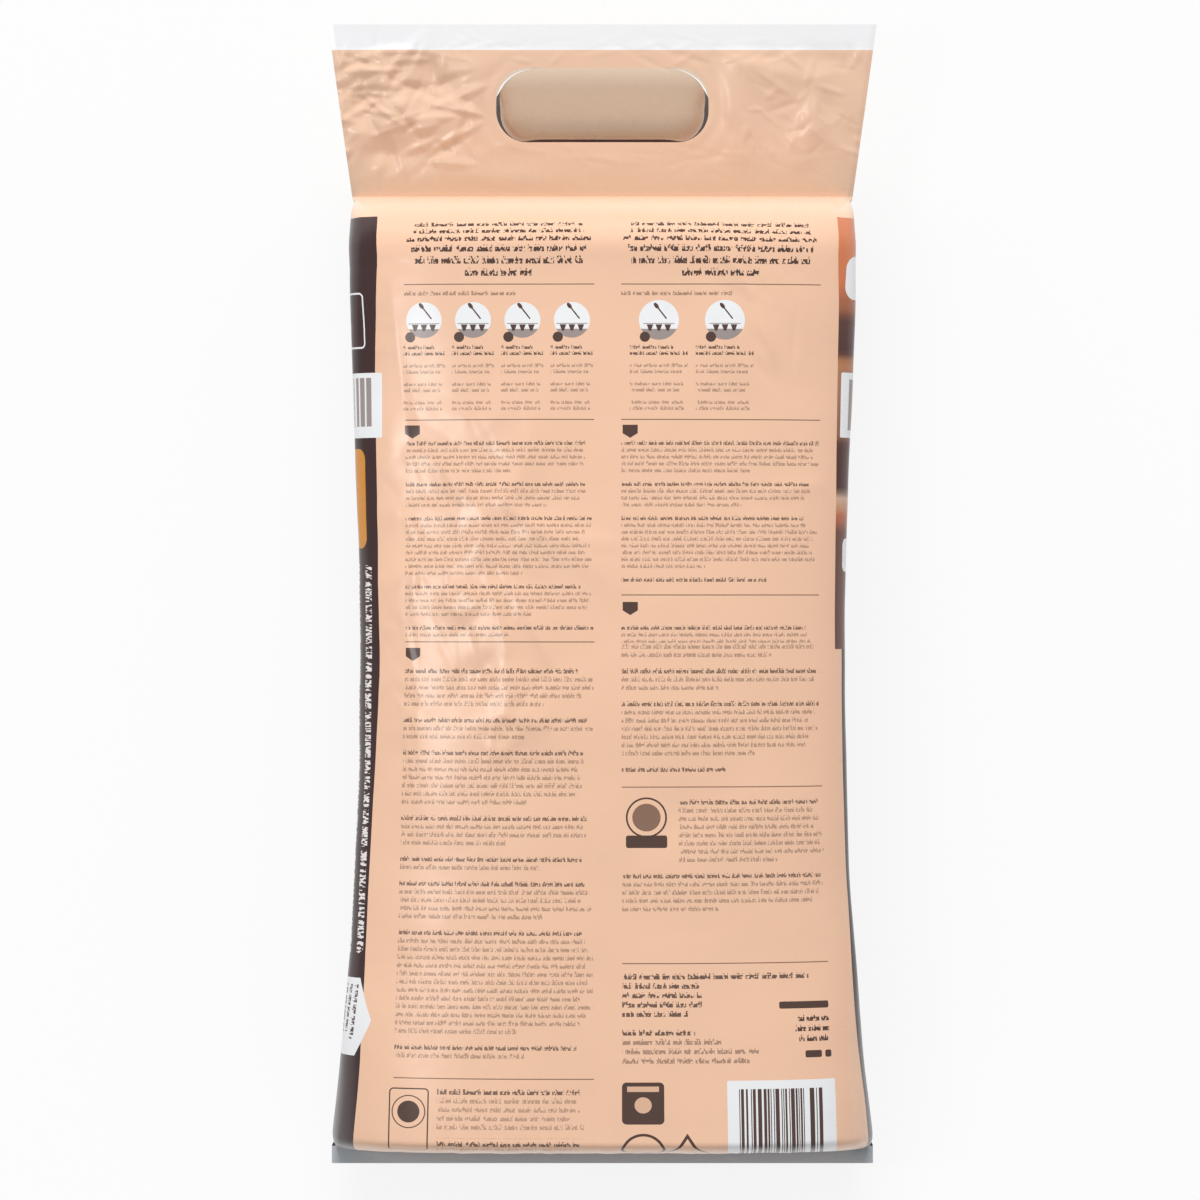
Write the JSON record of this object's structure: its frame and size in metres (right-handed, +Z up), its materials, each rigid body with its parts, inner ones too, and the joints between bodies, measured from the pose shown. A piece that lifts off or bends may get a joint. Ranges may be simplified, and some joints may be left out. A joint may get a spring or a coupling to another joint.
{
  "type": "compost bag",
  "caption": "Sealed gusseted film bag of potting compost, lying flat, with a flat header, a die-cut flap handle and welded end seals.",
  "frame": {"origin": "on the floor, under the middle of the bag's bounding box", "axes": "+Y along the bag from the base seal to the header, +Z up through the printed back panel, +X across the bag, to the right when the panel is read"},
  "size_m": [0.25, 0.5224, 0.1142],
  "materials": {
    "printed_film": "satin printed polyethylene film in peach, with dark brown side and front fields and bare white seals"
  },
  "bodies": {
    "root": {"compost_bag": "printed_film"}
  },
  "joints": []
}
